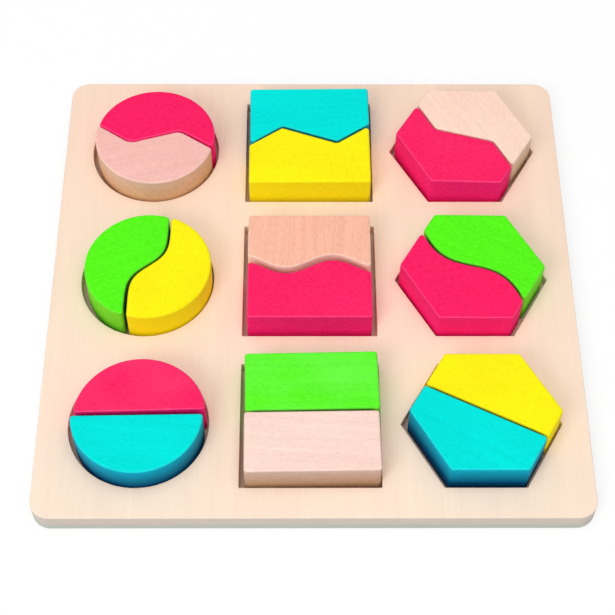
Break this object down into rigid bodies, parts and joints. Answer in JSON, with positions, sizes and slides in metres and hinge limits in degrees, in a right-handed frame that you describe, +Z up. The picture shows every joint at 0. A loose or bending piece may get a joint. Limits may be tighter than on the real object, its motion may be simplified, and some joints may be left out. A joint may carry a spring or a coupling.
{
  "type": "shape board",
  "caption": "Square wooden shape board whose round, square and hexagonal recesses hold stained blocks, each cut into loose halves that match along their split.",
  "frame": {"origin": "middle of the board's underside", "axes": "+X to the right, from the circle column to the hexagon column; +Y to the back row; +Z up"},
  "size_m": [0.225, 0.225, 0.022],
  "materials": {
    "plywood": "sanded birch plywood, clear matt",
    "natural_wood": "sanded beech, clear matt",
    "red_stain": "red stain, satin",
    "turquoise_stain": "turquoise stain, satin",
    "yellow_stain": "yellow stain, satin",
    "green_stain": "green stain, satin"
  },
  "bodies": {
    "board": {"base_panel": "plywood", "recess_panel": "plywood"},
    "back_circle_red": {"back_circle_red_half": "red_stain"},
    "back_circle_natural": {"back_circle_natural_half": "natural_wood"},
    "back_square_turquoise": {"back_square_turquoise_half": "turquoise_stain"},
    "back_square_yellow": {"back_square_yellow_half": "yellow_stain"},
    "back_hexagon_natural": {"back_hexagon_natural_half": "natural_wood"},
    "back_hexagon_red": {"back_hexagon_red_half": "red_stain"},
    "middle_circle_green": {"middle_circle_green_half": "green_stain"},
    "middle_circle_yellow": {"middle_circle_yellow_half": "yellow_stain"},
    "middle_square_natural": {"middle_square_natural_half": "natural_wood"},
    "middle_square_red": {"middle_square_red_half": "red_stain"},
    "middle_hexagon_green": {"middle_hexagon_green_half": "green_stain"},
    "middle_hexagon_red": {"middle_hexagon_red_half": "red_stain"},
    "front_circle_red": {"front_circle_red_half": "red_stain"},
    "front_circle_turquoise": {"front_circle_turquoise_half": "turquoise_stain"},
    "front_square_green": {"front_square_green_half": "green_stain"},
    "front_square_natural": {"front_square_natural_half": "natural_wood"},
    "front_hexagon_yellow": {"front_hexagon_yellow_half": "yellow_stain"},
    "front_hexagon_turquoise": {"front_hexagon_turquoise_half": "turquoise_stain"}
  },
  "joints": [
    {"name": "back_circle_red_lift", "type": "slide", "parent": "board", "child": "back_circle_red", "axis": [0, 0, 1], "range_m": [0, 0.03]},
    {"name": "back_circle_natural_lift", "type": "slide", "parent": "board", "child": "back_circle_natural", "axis": [0, 0, 1], "range_m": [0, 0.03]},
    {"name": "back_square_turquoise_lift", "type": "slide", "parent": "board", "child": "back_square_turquoise", "axis": [0, 0, 1], "range_m": [0, 0.03]},
    {"name": "back_square_yellow_lift", "type": "slide", "parent": "board", "child": "back_square_yellow", "axis": [0, 0, 1], "range_m": [0, 0.03]},
    {"name": "back_hexagon_natural_lift", "type": "slide", "parent": "board", "child": "back_hexagon_natural", "axis": [0, 0, 1], "range_m": [0, 0.03]},
    {"name": "back_hexagon_red_lift", "type": "slide", "parent": "board", "child": "back_hexagon_red", "axis": [0, 0, 1], "range_m": [0, 0.03]},
    {"name": "middle_circle_green_lift", "type": "slide", "parent": "board", "child": "middle_circle_green", "axis": [0, 0, 1], "range_m": [0, 0.03]},
    {"name": "middle_circle_yellow_lift", "type": "slide", "parent": "board", "child": "middle_circle_yellow", "axis": [0, 0, 1], "range_m": [0, 0.03]},
    {"name": "middle_square_natural_lift", "type": "slide", "parent": "board", "child": "middle_square_natural", "axis": [0, 0, 1], "range_m": [0, 0.03]},
    {"name": "middle_square_red_lift", "type": "slide", "parent": "board", "child": "middle_square_red", "axis": [0, 0, 1], "range_m": [0, 0.03]},
    {"name": "middle_hexagon_green_lift", "type": "slide", "parent": "board", "child": "middle_hexagon_green", "axis": [0, 0, 1], "range_m": [0, 0.03]},
    {"name": "middle_hexagon_red_lift", "type": "slide", "parent": "board", "child": "middle_hexagon_red", "axis": [0, 0, 1], "range_m": [0, 0.03]},
    {"name": "front_circle_red_lift", "type": "slide", "parent": "board", "child": "front_circle_red", "axis": [0, 0, 1], "range_m": [0, 0.03]},
    {"name": "front_circle_turquoise_lift", "type": "slide", "parent": "board", "child": "front_circle_turquoise", "axis": [0, 0, 1], "range_m": [0, 0.03]},
    {"name": "front_square_green_lift", "type": "slide", "parent": "board", "child": "front_square_green", "axis": [0, 0, 1], "range_m": [0, 0.03]},
    {"name": "front_square_natural_lift", "type": "slide", "parent": "board", "child": "front_square_natural", "axis": [0, 0, 1], "range_m": [0, 0.03]},
    {"name": "front_hexagon_yellow_lift", "type": "slide", "parent": "board", "child": "front_hexagon_yellow", "axis": [0, 0, 1], "range_m": [0, 0.03]},
    {"name": "front_hexagon_turquoise_lift", "type": "slide", "parent": "board", "child": "front_hexagon_turquoise", "axis": [0, 0, 1], "range_m": [0, 0.03]}
  ]
}
